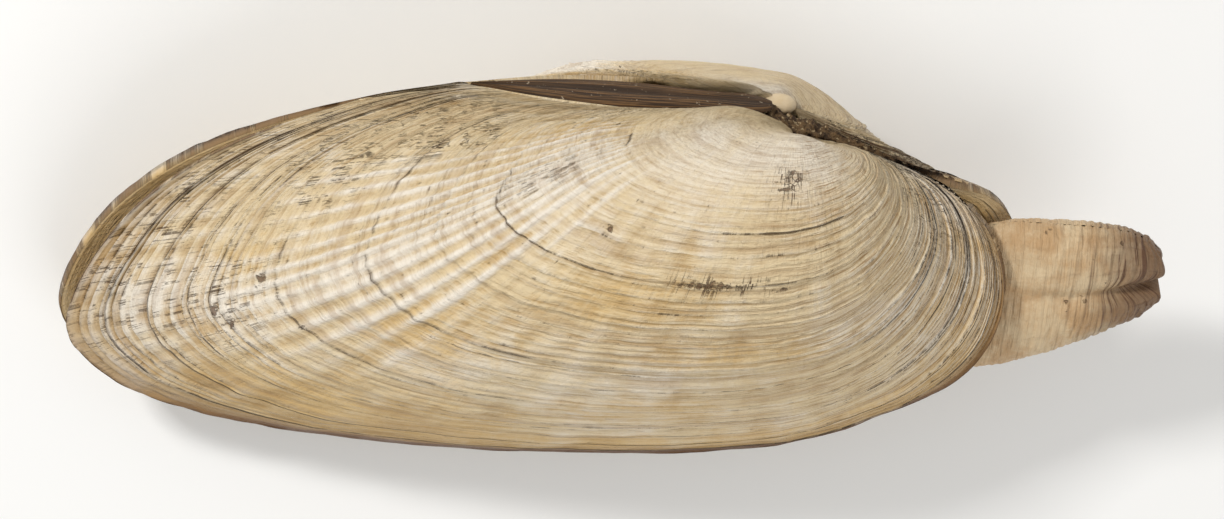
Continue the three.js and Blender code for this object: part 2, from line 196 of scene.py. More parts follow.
@dataclass(frozen=True)
class GrowthForm:
    """Plain surface of one valve in the shell's own frame, in millimetres.

    A ray runs from the beak to the margin, 0 at the rear of the hinge and 1 at its front. A stage is
    the share of full growth, 1 at the margin. Each growth line is turned about the hinge axis.
    """

    side: Side
    roll: float
    pinch: float
    pinch_spread: float
    umbo_shift: float
    rear_gape: float
    front_length: float = 0.0
    rear_length: float = 0.0
    growth_rate: float = 0.925
    largest_turn: float = 1.365
    even_turn_share: float = 0.7
    roll_spread: float = 0.14
    axis_below: float = 0.32
    closing_deg: float = 1.35
    hinge: Hinge = Hinge()
    beak_drop: float = 2.8
    beak_shift: float = 0.0
    beak_sharpness: float = 24.0
    umbo_rise: float = 0.8
    umbo_stage: float = 0.1
    umbo_spread: float = 0.09
    umbo_rays: tuple[float, float] = (0.55, 0.9)
    front_drop: float = 2.6
    front_drop_rays: tuple[float, float] = (0.6, 0.95)
    rear_from: float = -48.0
    rear_span: float = 30.0
    front_from: float = 6.0
    front_span: float = 16.0
    front_gape: float = 5.0
    front_gape_depth: float = 24.0
    front_gape_reach: float = 17.0
    edge_gap: float = 0.15
    outline: tuple[tuple[float, float, float], ...] = (
        (-37.9, 0.0, 0.8), (-49.8, 3.3, 0.95), (-64.5, 10.2, 1.01), (-75.1, 18.9, 1.06),
        (-81.8, 30.0, 1.09), (-82.1, 38.1, 1.07), (-71.9, 45.3, 1.04), (-51.7, 49.5, 0.97),
        (-25.0, 49.7, 0.89), (-0.2, 46.8, 0.87), (13.8, 41.2, 0.88), (22.9, 32.1, 0.89),
        (26.5, 21.2, 0.88), (23.1, 11.9, 0.88), (13.3, 6.9, 0.88), (2.0, 3.2, 0.88),
    )

    def outline_at(self, ray: np.ndarray) -> np.ndarray:
        """Smooth curve through the outline's points.

        Args:
            ray: Where on the outline, from 0 to 1.

        Returns:
            How far forward, how far below the hinge, and how fast that ray grows, on the last axis.
        """
        table = np.array(self.outline)
        table = np.vstack([2 * table[0] - table[1], table, 2 * table[-1] - table[-2]])
        last = len(self.outline) - 1
        position = np.clip(ray, 0.0, 1.0) * last
        i = np.minimum(np.floor(position).astype(int), last - 1)
        f = (position - i)[..., None]
        a, b, c, d = table[i], table[i + 1], table[i + 2], table[i + 3]
        return b + 0.5 * f * (c - a + f * (2 * a - 5 * b + 4 * c - d + f * (3 * b - a - 3 * c + d)))

    def turn_at(self, ray: np.ndarray, stage: np.ndarray) -> np.ndarray:
        """How far each growth line is turned about the hinge axis.

        Args:
            ray: Ray of each point.
            stage: Stage of each point.

        Returns:
            Angles in radians.
        """
        turn = -np.log(stage) / self.growth_rate
        knee = self.even_turn_share * self.largest_turn
        rest = self.largest_turn - knee
        turn = np.where(turn < knee, turn, knee + rest * np.tanh((turn - knee) / rest))
        rolled = 1 + self.roll * bell(ray, 0.0, self.roll_spread)
        return turn * (rolled + self.pinch * bell(ray, 1.0, self.pinch_spread))

    def gape(self, down: np.ndarray, stage: np.ndarray, rear: np.ndarray, front: np.ndarray) -> np.ndarray:
        """How far the valve bends out at both ends, where the shell gapes.

        Args:
            down: Depth of each point below the hinge line.
            stage: Stage of each point.
            rear: 1 at the rear end, 0 ahead of it.
            front: 1 at the front end, 0 behind it.

        Returns:
            Distances away from the middle plane.
        """
        bow = np.maximum(0, 1 - ((down - self.front_gape_depth) / self.front_gape_reach) ** 2)
        return self.front_gape * front * bow * stage**5 + self.rear_gape * rear * stage**8

    def umbo_lift(self, ray: np.ndarray, stage: np.ndarray) -> np.ndarray:
        """How far the young shell stands above the plain growth form.

        Args:
            ray: Ray of each point.
            stage: Stage of each point.

        Returns:
            Heights, negative where the beak and the front of the umbo are sunken.
        """
        swollen = bell(stage, self.umbo_stage, self.umbo_spread) * (1 - smooth(*self.umbo_rays, ray))
        sunken = smooth(*self.front_drop_rays, ray) * (1 - stage) ** 3
        young = (1 - stage) ** self.beak_sharpness
        return self.umbo_rise * swollen - self.beak_drop * young - self.front_drop * sunken

    def point(self, ray: np.ndarray, stage: np.ndarray) -> np.ndarray:
        """Points of the plain surface.

        Args:
            ray: Ray of each point.
            stage: Stage of each point.

        Returns:
            Points with x y z on the last axis.
        """
        forward, below, growth = np.moveaxis(self.outline_at(ray), -1, 0)
        below = np.maximum(below, 0.0)
        reach = np.hypot(forward, below) * stage**growth
        angle = np.arctan2(below, -forward)
        x, down = -reach * np.cos(angle), reach * np.sin(angle)
        rear = np.clip((self.rear_from - x) / self.rear_span, 0, 1)
        front = np.clip((x - self.front_from) / self.front_span, 0, 1)
        turn = self.turn_at(ray, stage)
        arm = down + self.axis_below
        out = arm * np.sin(turn) + self.hinge.half_below(x, down) + self.gape(down, stage, rear, front)
        back = arm * np.cos(turn)
        close = math.radians(self.closing_deg)
        y = self.axis_below - back * math.cos(close) + out * math.sin(close) + self.umbo_lift(ray, stage)
        z = out * math.cos(close) + back * math.sin(close)
        x = x + self.umbo_shift * (1 - stage) + self.beak_shift * (1 - stage) ** self.beak_sharpness
        x = x + (self.front_length * front - self.rear_length * rear) * stage**4
        return np.stack([x, y, self.side.value * z], axis=-1)

    def normal(self, points: np.ndarray) -> np.ndarray:
        """Outward directions over a grid of surface points.

        Args:
            points: Rows by stage and columns by ray.

        Returns:
            Unit vectors of the same layout.
        """
        across = np.gradient(points, axis=1)
        outward = np.gradient(points, axis=0)
        made = np.cross(outward, across) * self.side.value
        length = np.linalg.norm(made, axis=-1, keepdims=True)
        return made / np.maximum(length, 1e-9)


@dataclass(frozen=True)
class Patch:
    """A place on a valve, oval in ray and stage: worn, stained or cracked, paler, or painted shade or
    painted light.
    """

    ray: float
    stage: float
    ray_reach: float
    stage_reach: float
    weight: float = 1.0

    def at(self, ray: np.ndarray, stage: np.ndarray) -> np.ndarray:
        """Strength of the patch at each point."""
        away = ((ray - self.ray) / self.ray_reach) ** 2 + ((stage - self.stage) / self.stage_reach) ** 2
        return self.weight * np.exp(-away)


@dataclass(frozen=True)
class Crease:
    """A stretch of one growth line that holds dirt or has cracked open."""

    stage: float
    first_ray: float
    last_ray: float
    weight: float

    def at(self, ray: np.ndarray) -> np.ndarray:
        """Strength of the crease along the line."""
        ends = smooth(self.first_ray - 0.03, self.first_ray + 0.01, ray)
        return self.weight * ends * (1 - smooth(self.last_ray - 0.01, self.last_ray + 0.03, ray))


@dataclass(frozen=True)
class Region:
    """A part of a valve with soft borders, given by where its rays and stages begin and end."""

    first_rays: tuple[float, float] = (-2.0, -1.0)
    last_rays: tuple[float, float] = (2.0, 3.0)
    first_stages: tuple[float, float] = (-2.0, -1.0)
    last_stages: tuple[float, float] = (2.0, 3.0)
    weight: float = 1.0

    def at(self, ray: np.ndarray, stage: np.ndarray) -> np.ndarray:
        """How far each point lies inside.

        Args:
            ray: Ray of each point.
            stage: Stage of each point.

        Returns:
            The region's weight well inside, 0 outside.
        """
        across = smooth(*self.first_rays, ray) * (1 - smooth(*self.last_rays, ray))
        grown = smooth(*self.first_stages, stage) * (1 - smooth(*self.last_stages, stage))
        return self.weight * across * grown


@dataclass(frozen=True)
class Relief:
    """Heights over a valve's plain surface, in millimetres: growth ledges, fine lines and raised rays.

    Ledges are pairs of stage and height. The plates stand crowded at the rear, at the front and below.
    """

    seed: int
    ledges: tuple[tuple[float, float], ...] = (
        (0.253, 0.1), (0.33, 0.15), (0.419, 0.2), (0.5, 0.2), (0.596, 0.28), (0.655, 0.2),
        (0.714, 0.28), (0.775, 0.25), (0.835, 0.35), (0.891, 0.6), (0.945, 0.45),
    )
    last_ledge: float = 0.3
    creases: tuple[Crease, ...] = (
        Crease(0.253, 0.24, 0.36, 0.7), Crease(0.33, 0.56, 0.68, 0.9), Crease(0.419, 0.24, 0.66, 0.85),
        Crease(0.5, 0.12, 0.22, 0.6), Crease(0.596, 0.08, 0.56, 0.75), Crease(0.655, 0.45, 0.8, 0.5),
        Crease(0.714, 0.22, 0.52, 0.7), Crease(0.775, 0.5, 0.9, 0.6), Crease(0.835, 0.05, 0.95, 0.8),
        Crease(0.891, 0.02, 0.98, 1.4), Crease(0.945, 0.02, 0.98, 1.1),
    )
    crowded: tuple[Region, ...] = (
        Region(last_rays=(0.34, 0.47), first_stages=(0.74, 0.88)),
        Region(first_rays=(0.6, 0.78), first_stages=(0.35, 0.7)),
        Region(first_rays=(0.46, 0.58), last_rays=(0.65, 0.75), first_stages=(0.78, 0.88), weight=0.5),
    )
    raised: Region = Region((0.14, 0.2), (0.39, 0.46), (0.22, 0.32), (0.62, 0.86))
    tiled: Region = Region(first_stages=(0.22, 0.4))
    lined: Region = Region(first_stages=(0.14, 0.34))
    soiled: Region = Region(first_stages=(0.16, 0.4))
    swaying: Region = Region(first_stages=(0.1, 0.3), last_stages=(0.93, 1.0))
    worn: Region = Region(first_stages=(0.1, 0.25), last_stages=(0.96, 1.0))
    calm_front: Region = Region(first_rays=(0.5, 0.75), weight=0.75)
    first_stage: float = 0.015
    line_width: float = 0.0125
    line_height: float = 0.26
    hair: float = 0.0007
    ray_count: int = 16
    ray_height: float = 0.55
    ray_half: float = 0.25
    tile_height: float = 0.16
    dent: float = 0.16
    fine_dent: float = 0.07
    sway: float = 0.006
    held_dirt: float = 0.42
    crowded_dirt: float = 0.95
    raised_dirt: float = -0.15
    most_dirt: float = 1.6

    def ray_span(self) -> tuple[float, float]:
        """Where the raised rays begin and end."""
        return self.raised.first_rays[0], self.raised.last_rays[1]

    def lines(self) -> np.ndarray:
        """Stages of all growth lines, the ledges among them.

        Returns:
            Stages from the beak to the margin.
        """
        chance = np.random.default_rng(self.seed)
        marks = [self.first_stage]
        for edge in [stage for stage, _ in self.ledges] + [1.0]:
            start = marks[-1]
            count = max(1, round((edge - start) / self.line_width))
            widths = chance.uniform(0.45, 1.55, count)
            marks.extend((start + (edge - start) * np.cumsum(widths) / widths.sum()).tolist())
        return np.array(marks)

    def strengths(self) -> np.ndarray:
        """How marked each growth line is, from 0 to 1."""
        chance = np.random.default_rng(self.seed + 9)
        return chance.uniform(0.0, 1.0, len(self.lines())) ** 1.6

    def band(self, stage: np.ndarray) -> np.ndarray:
        """Number of the band a stage lies in plus its share of that band."""
        marks = self.lines()
        return np.interp(stage, marks, np.arange(len(marks)))

    def ends(self, ray: np.ndarray, stage: np.ndarray) -> np.ndarray:
        """Where the plates stand crowded."""
        return sum(region.at(ray, stage) for region in self.crowded)

    def crease(self, ray: np.ndarray, stage: np.ndarray) -> np.ndarray:
        """Dirt held by the nearest growth line.

        Args:
            ray: Ray of each point.
            stage: Stage of each point.

        Returns:
            Strengths from 0 to most_dirt.
        """
        marks = self.lines()
        nearest = np.rint(self.band(stage)).astype(int)
        where = marks[nearest]
        plain = self.held_dirt + self.crowded_dirt * self.ends(ray, where)
        plain = plain + self.raised_dirt * self.raised.at(ray, where)
        held = self.strengths()[nearest] * plain * self.soiled.at(ray, where)
        for one in self.creases:
            on_line = np.abs(where - one.stage) < 1e-6
            held = np.where(on_line, np.maximum(held, one.at(ray)), held)
        broken = 0.75 + 0.5 * Ripple(self.seed + 7, 34.0, 1.0).at(ray, nearest * 5.3)
        return np.clip(held * broken, 0.0, self.most_dirt)

    def swayed(self, ray: np.ndarray, stage: np.ndarray) -> np.ndarray:
        """Stages moved a little along each ray, so that no growth line is perfectly even.

        Args:
            ray: Ray of each point.
            stage: Stage of each point.

        Returns:
            The moved stages.
        """
        broad = Ripple(self.seed + 1, 9.0, 7.0).at(ray, stage)
        fine = Ripple(self.seed + 2, 42.0, 30.0).at(ray, stage)
        return stage + self.sway * (broad + 0.35 * fine) * self.swaying.at(ray, stage)

    def height(self, ray: np.ndarray, stage: np.ndarray) -> np.ndarray:
        """Height of ledges, fine lines, rays and wear at each point."""
        return self.ledge_height(ray, stage) + self.fine(ray, stage) + self.wear(ray, stage)

    def fine(self, ray: np.ndarray, stage: np.ndarray) -> np.ndarray:
        """Height of fine lines, raised rays and short ridges together."""
        return self.line_relief(ray, stage) + self.ray_relief(ray, stage) + self.tiles(ray, stage)

    def tiles(self, ray: np.ndarray, stage: np.ndarray) -> np.ndarray:
        """Short lengthwise ridges that break each plate into tiles, all over but the umbo.

        Args:
            ray: Ray of each point.
            stage: Stage of each point.

        Returns:
            Heights in millimetres.
        """
        number = np.floor(self.band(stage) + 1e-6)
        own = Ripple(self.seed + 12, 150.0, 1.0).at(ray, number * 2.9)
        broad = Ripple(self.seed + 13, 95.0, 9.0).at(ray, stage)
        room = self.tiled.at(ray, stage) * (1 - self.calm_front.at(ray, stage))
        room = room * (1 - 0.4 * self.raised.at(ray, stage))
        return self.tile_height * (0.45 * own + 0.75 * broad) * room

    def ledge_height(self, ray: np.ndarray, stage: np.ndarray) -> np.ndarray:
        """Each broad band swells towards its edge and drops there.

        Args:
            ray: Ray of each point.
            stage: Stage of each point.

        Returns:
            Heights in millimetres.
        """
        edges = np.array([self.first_stage] + [s for s, _ in self.ledges] + [1.0])
        sizes = np.array([h for _, h in self.ledges] + [self.last_ledge])
        i = np.clip(np.searchsorted(edges, stage, side="right") - 1, 0, len(sizes) - 1)
        share = np.clip((stage - edges[i]) / (edges[i + 1] - edges[i]), 0, 1)
        strength = 0.8 + 0.4 * Ripple(self.seed + 8, 11.0, 1.0).at(ray, i * 2.3)
        return sizes[i] * (share * share - 0.45) * strength

    def line_relief(self, ray: np.ndarray, stage: np.ndarray) -> np.ndarray:
        """Thin plates between the fine lines, strongest where they stand crowded.

        Args:
            ray: Ray of each point.
            stage: Stage of each point.

        Returns:
            Heights in millimetres.
        """
        band = self.band(stage)
        number = np.minimum(np.floor(band + 1e-6).astype(int), len(self.lines()) - 2)
        share = np.clip(band - number, 0, 1)
        own = 0.35 + 0.9 * self.strengths()[number + 1]
        own = own * (0.75 + 0.5 * Ripple(self.seed + 3, 14.0, 1.0).at(ray, number * 3.7))
        own = own * (1 - 0.6 * self.raised.at(ray, stage) + 1.3 * self.ends(ray, stage))
        return self.line_height * own * self.lined.at(ray, stage) * (share**1.5 - 0.4)

    def ray_relief(self, ray: np.ndarray, stage: np.ndarray) -> np.ndarray:
        """Narrow raised rays on the rear half, beaded where growth lines cross them.

        Args:
            ray: Ray of each point.
            stage: Stage of each point.

        Returns:
            Heights in millimetres.
        """
        first, last = self.ray_span()
        position = (ray - first) / (last - first) * self.ray_count
        number = np.floor(position)
        crest = bell(position - number, 0.5, self.ray_half)
        own = 0.75 + 0.45 * Ripple(self.seed + 10, 1.0, 6.0).at(number * 1.7, stage)
        bead = 1 + 0.28 * Ripple(self.seed + 4, 70.0, 75.0).at(ray, stage)
        return self.ray_height * crest * own * bead * self.raised.at(ray, stage)

    def wear(self, ray: np.ndarray, stage: np.ndarray) -> np.ndarray:
        """Soft dents of an old, rolled shell.

        Args:
            ray: Ray of each point.
            stage: Stage of each point.

        Returns:
            Heights in millimetres.
        """
        broad = self.dent * Ripple(self.seed + 5, 16.0, 9.0).at(ray, stage)
        fine = self.fine_dent * Ripple(self.seed + 6, 70.0, 45.0).at(ray, stage)
        return (broad + fine) * self.worn.at(ray, stage)

    def rows(self) -> np.ndarray:
        """Stages of the mesh rows: two close together at each line and one between lines.

        Returns:
            Stages from the beak to the margin.
        """
        marks = self.lines()
        rows = [marks[0]]
        for low, high in zip(marks[:-1], marks[1:]):
            rows.extend([low + self.hair, 0.5 * (low + high), high - self.hair])
        rows.append(1.0)
        return np.array(rows)


class Sock:
    """A socket of a material's graph, with Python's sums on it."""

    def __init__(self, graph: "Graph", socket: bpy.types.NodeSocket) -> None:
        """Keeps the graph and the socket."""
        self.graph = graph
        self.socket = socket

    def sum(self, operation: str, *others: object) -> "Sock":
        """Adds one Math node with this socket first.

        Args:
            operation: The Math node's operation.
            others: The values or sockets of its other inputs.

        Returns:
            The node's result.
        """
        return self.graph.maths(operation, self, *others)

    def __add__(self, other: object) -> "Sock":
        """Sum."""
        return self.sum("ADD", other)

    def __radd__(self, other: object) -> "Sock":
        """Sum with a number first."""
        return self.sum("ADD", other)

    def __sub__(self, other: object) -> "Sock":
        """Difference."""
        return self.sum("SUBTRACT", other)

    def __rsub__(self, other: object) -> "Sock":
        """Difference from a number."""
        return self.graph.maths("SUBTRACT", other, self)

    def __mul__(self, other: object) -> "Sock":
        """Product."""
        return self.sum("MULTIPLY", other)

    def __rmul__(self, other: object) -> "Sock":
        """Product with a number first."""
        return self.sum("MULTIPLY", other)

    def __abs__(self) -> "Sock":
        """Size without sign."""
        return self.sum("ABSOLUTE")

    def __pow__(self, other: object) -> "Sock":
        """Power."""
        return self.sum("POWER", other)

    def fract(self) -> "Sock":
        """Part after the point."""
        return self.sum("FRACT")

    def floor(self) -> "Sock":
        """Whole part."""
        return self.sum("FLOOR")

    def most(self, other: object) -> "Sock":
        """Larger of two values."""
        return self.sum("MAXIMUM", other)

    def least(self, other: object) -> "Sock":
        """Smaller of two values."""
        return self.sum("MINIMUM", other)

    def step(self, low: float, high: float, start: float = 0.0, end: float = 1.0) -> "Sock":
        """Soft step from start to end between low and high.

        Args:
            low: Where the step starts.
            high: Where it ends.
            start: Value below low.
            end: Value above high.

        Returns:
            The stepped value.
        """
        node = self.graph.node(
            "ShaderNodeMapRange",
            {"interpolation_type": "SMOOTHSTEP"},
            {"Value": self, "From Min": low, "From Max": high, "To Min": start, "To Max": end},
        )
        return Sock(self.graph, node.outputs["Result"])


class Graph:
    """Node graph of one material."""

    def __init__(self, name: str) -> None:
        """Starts an empty material.

        Args:
            name: The material's name.
        """
        self.material = bpy.data.materials.new(name)
        self.material.use_nodes = True
        self.tree = self.material.node_tree
        self.tree.nodes.clear()

    def node(self, kind: str, settings: dict[str, object], inputs: dict[object, object]) -> bpy.types.Node:
        """Adds one node.

        Args:
            kind: The node's type.
            settings: The node's own settings.
            inputs: Values or sockets by input name or number.

        Returns:
            The new node.
        """
        made = self.tree.nodes.new(kind)
        for key, value in settings.items():
            setattr(made, key, value)
        for key, value in inputs.items():
            if isinstance(value, Sock):
                self.tree.links.new(value.socket, made.inputs[key])
            else:
                made.inputs[key].default_value = value
        return made

    def maths(self, operation: str, *values: object) -> Sock:
        """One Math node on values or sockets."""
        node = self.node("ShaderNodeMath", {"operation": operation}, dict(enumerate(values)))
        return Sock(self, node.outputs[0])

    def attribute(self, name: str) -> Sock:
        """A number kept on the piece's own vertices."""
        return Sock(self, self.node("ShaderNodeAttribute", {"attribute_name": name}, {}).outputs["Fac"])

    def place(self) -> Sock:
        """The piece's own Object coordinates, in metres."""
        return Sock(self, self.node("ShaderNodeTexCoord", {}, {}).outputs["Object"])

    def vector(self, x: object, y: object, z: object = 0.0) -> Sock:
        """A vector of three numbers or sockets."""
        return Sock(self, self.node("ShaderNodeCombineXYZ", {}, {0: x, 1: y, 2: z}).outputs[0])

    def noise(
        self, where: Sock, scale: float, detail: float = 2.0, rough: float = 0.5, warp: float = 0.0
    ) -> Sock:
        """Soft noise.

        Args:
            where: Coordinates.
            scale: Bumps per unit.
            detail: How many finer layers.
            rough: Strength of the finer layers.
            warp: How much the noise bends itself.

        Returns:
            A value from about 0 to 1.
        """
        node = self.node(
            "ShaderNodeTexNoise",
            {"noise_dimensions": "3D"},
            {"Vector": where, "Scale": scale, "Detail": detail, "Roughness": rough, "Distortion": warp},
        )
        return Sock(self, node.outputs["Fac"])

    def cracks(self, where: Sock, scale: float) -> Sock:
        """Distance to the nearest border in a pattern of cells."""
        inputs = {"Vector": where, "Scale": scale}
        node = self.node("ShaderNodeTexVoronoi", {"feature": "DISTANCE_TO_EDGE"}, inputs)
        return Sock(self, node.outputs["Distance"])

    def blend(self, share: object, first: object, second: object) -> Sock:
        """Mixes two colours.

        Args:
            share: How much of the second colour.
            first: First colour.
            second: Second colour.

        Returns:
            The mixed colour.
        """
        node = self.node("ShaderNodeMix", {"data_type": "RGBA"}, {0: share, 6: first, 7: second})
        return Sock(self, node.outputs[2])

    def bump(self, height: Sock, distance: float) -> Sock:
        """Normal bent by a height from 0 to 1 over a distance in metres."""
        node = self.node("ShaderNodeBump", {}, {"Strength": 1.0, "Distance": distance, "Height": height})
        return Sock(self, node.outputs["Normal"])

    def finish(self, inputs: dict[str, object]) -> bpy.types.Material:
        """Closes the graph with a shader.

        Args:
            inputs: Values or sockets by the shader's input name.

        Returns:
            The material.
        """
        shader = self.node("ShaderNodeBsdfPrincipled", {}, inputs)
        output = self.node("ShaderNodeOutputMaterial", {}, {})
        self.tree.links.new(shader.outputs[0], output.inputs["Surface"])
        return self.material


@dataclass(frozen=True)
class Pit:
    """A small dark hole or stain, placed by ray and stage."""

    ray: float
    stage: float
    reach: float
    stretch: float = 1.0


@dataclass(frozen=True)
class ValveFinish:
    """Colours and gloss of an old chalky valve."""

    name: str
    cream: tuple[float, ...] = tint(219, 197, 156)
    chalk: tuple[float, ...] = tint(236, 227, 212)
    ochre: tuple[float, ...] = tint(212, 175, 108)
    # The dirt and soil browns colour real dirt, and also the painted shade along the margins.
    dirt: tuple[float, ...] = tint(88, 54, 24)
    soil: tuple[float, ...] = tint(148, 110, 62)
    lining: tuple[float, ...] = tint(192, 160, 108)
    pits: tuple[Pit, ...] = ()
    specular: float = 0.45
    relief_depth: float = 0.00026

    def material(self) -> bpy.types.Material:
        """Builds the finish.

        Returns:
            The valve's material.
        """
        graph = Graph(self.name)
        names = ("ray", "stage", "band", "crease", "crest", "warm", "pale", "grime_and_shade", "crackle", "inside")
        ray, stage, band, crease, crest, warm, pale, grime_and_shade, crackle, inside = map(graph.attribute, names)
        where = graph.place()
        streak = graph.noise(graph.vector(ray * 34.0, stage * 150.0, 7.0), 1.0, 4.0, 0.65)
        radial = graph.noise(graph.vector(ray * 210.0, stage * 14.0, 2.0), 1.0, 4.0, 0.65)
        colour = self.ground(graph, where, (warm, pale), (streak, radial, crest))
        colour = self.rings(graph, colour, ray, band)
        lines, gaps = self.line_marks(graph, ray, band, crease)
        splits = self.splits(graph, where, (ray, band), crackle)
        stain = (lines * 0.8).most(splits * 0.85).most(self.holes(graph, where, ray, stage))
        colour = graph.blend((gaps * 0.42).least(0.6), colour, self.soil)
        # Painted shade, partly dirt: these patches darken the colour towards soil, and where strongest
        # towards the dirt brown; the strongest is a painted shadow band along the bottom margin.
        colour = graph.blend(grime_and_shade.least(1.0), colour, self.soil)
        colour = graph.blend(grime_and_shade.step(0.75, 1.3) * 0.85, colour, self.dirt)
        colour = graph.blend(stain, colour, self.dirt)
        colour = graph.blend(inside * stage.step(0.9, 0.97, 1.0, 0.25), colour, self.lining)
        height = self.grain(graph, where, (ray, band), radial) - stain * 1.6 - gaps * 0.8
        rough = graph.noise(where, 160.0, 2.0).step(0.35, 0.65, 0.36, 0.56) + stain * 0.3
        normal = graph.bump(height, self.relief_depth)
        return graph.finish({
            "Base Color": colour, "Roughness": rough, "Normal": normal,
            "Specular IOR Level": self.specular,
        })

    def ground(
        self, graph: Graph, where: Sock, patches: tuple[Sock, Sock], marks: tuple[Sock, Sock, Sock]
    ) -> Sock:
        """Cream ground, chalky on crests and tan in hollows.

        Args:
            graph: The finish's graph.
            where: Object coordinates.
            patches: Strength of warm and of pale patches.
            marks: Streaks along the growth lines, streaks along the rays, and height of the crests.

        Returns:
            The ground colour.
        """
        warm, pale = patches
        streak, radial, crest = marks
        cloud = graph.noise(where, 85.0, 5.0, 0.65, 0.5)
        # Pale patches whiten the ground; on the upper valve's front this is painted light.
        white = (cloud * 0.8 + pale * 0.4 + radial * 0.3 + crest * 0.9).step(0.5, 1.0)
        colour = graph.blend(white * 0.9, self.cream, self.chalk)
        blot = graph.noise(where, 90.0, 6.0, 0.7, 0.6)
        tan = blot + warm * 0.45 + (streak - 0.5) * 0.7 + (radial - 0.5) * 0.5 - crest * 0.7
        colour = graph.blend(tan.step(0.5, 1.0) * 0.75, colour, self.ochre)
        hollow = (streak * 0.85 - crest * 1.8 + radial * 0.3).step(0.48, 0.9)
        return graph.blend(hollow * 0.4, colour, self.soil)

    def rings(self, graph: Graph, colour: Sock, ray: Sock, band: Sock) -> Sock:
        """Darker growth rings all over, and fine pale and dark threads at the front.

        Args:
            graph: The finish's graph.
            colour: The ground colour.
            ray: Ray of each point.
            band: Band number of each point.

        Returns:
            The ringed colour.
        """
        broad = graph.noise(graph.vector(ray * 7.0, band * 0.75, 9.0), 1.0, 3.0, 0.7)
        colour = graph.blend(broad.step(0.46, 0.66) * 0.34, colour, self.soil)
        threads = graph.noise(graph.vector(ray * 16.0, band * 4.3, 5.0), 1.0, 3.0, 0.75)
        front = ray.step(0.5, 0.68, 0.15, 0.8)
        colour = graph.blend(threads.step(0.38, 0.3) * front, colour, self.chalk)
        return graph.blend(threads.step(0.52, 0.62) * front, colour, self.soil)

    def line_marks(self, graph: Graph, ray: Sock, band: Sock, crease: Sock) -> tuple[Sock, Sock]:
        """Dirt held in the growth lines, broken along their length.

        Args:
            graph: The finish's graph.
            ray: Ray of each point.
            band: Band number of each point.
            crease: How much dirt the nearest line holds.

        Returns:
            The dark hairline, and the softer soil beside it.
        """
        near = abs(band.fract() - 0.5) * 2.0
        number = (band + 0.5).floor()
        along = graph.noise(graph.vector(ray * 85.0, number * 4.37), 1.0, 5.0, 0.75) - 0.5
        held = (crease + along * 3.2).step(0.35, 1.0)
        hair = (near + crease * 0.06 + along * 0.2).step(0.88, 0.99)
        soft = (near + crease * 0.12 + along * 0.4).step(0.45, 1.0)
        return hair * held, soft * held

    def splits(self, graph: Graph, where: Sock, grid: tuple[Sock, Sock], crackle: Sock) -> Sock:
        """Short cuts across the plates where the shell is weathered, and flakes where it has crazed.

        Args:
            graph: The finish's graph.
            where: Object coordinates.
            grid: Ray and band number.
            crackle: How weathered each point is.

        Returns:
            Strength of the cuts from 0 to 1.
        """
        ray, band = grid
        bent = graph.noise(where, 500.0, 3.0, 0.7)
        plate = (band * 0.7).floor()
        across = graph.noise(graph.vector(ray * 120.0, plate * 5.71, 3.0), 1.0, 3.0, 0.6)
        cut = (1.0 - abs(across - 0.5 + (bent - 0.5) * 0.08).step(0.003, 0.022)) * bent.step(0.44, 0.62)
        flakes = graph.cracks(graph.vector(ray * 170.0 + bent * 1.4, band * 1.1 + bent), 1.0)
        crazed = (1.0 - flakes.step(0.01, 0.08)) * crackle.step(0.95, 1.25) * bent.step(0.45, 0.56)
        return (cut * crackle.step(0.1, 0.9)).most(crazed)

    def holes(self, graph: Graph, where: Sock, ray: Sock, stage: Sock) -> Sock | float:
        """Small dark pits at their own places.

        Args:
            graph: The finish's graph.
            where: Object coordinates.
            ray: Ray of each point.
            stage: Stage of each point.

        Returns:
            Strength of the pits, 0 where the valve has none.
        """
        wobble = graph.noise(where, 1500.0, 2.0) - 0.5
        made = 0.0
        for pit in self.pits:
            a = (ray - pit.ray) * (100.0 / pit.stretch)
            b = (stage - pit.stage) * 85.0
            away = (a * a + b * b) ** 0.5 + wobble * 1.6
            made = ((1.0 - away.step(pit.reach * 0.15, pit.reach * 0.55)) * 0.8).most(made)
        return made

    def grain(self, graph: Graph, where: Sock, grid: tuple[Sock, Sock], radial: Sock) -> Sock:
        """Chalky grain, thin plates and faint rays.

        Args:
            graph: The finish's graph.
            where: Object coordinates.
            grid: Ray and band number.
            radial: Streaks along the rays.

        Returns:
            Height of the grain.
        """
        ray, band = grid
        fine = graph.noise(where, 1300.0, 3.0, 0.6) * 0.5
        plates = graph.noise(graph.vector(ray * 70.0, band * 2.1), 1.0, 3.0, 0.6) * 1.1
        return fine + plates + radial * 0.8 + graph.noise(where, 420.0, 3.0, 0.6) * 1.2


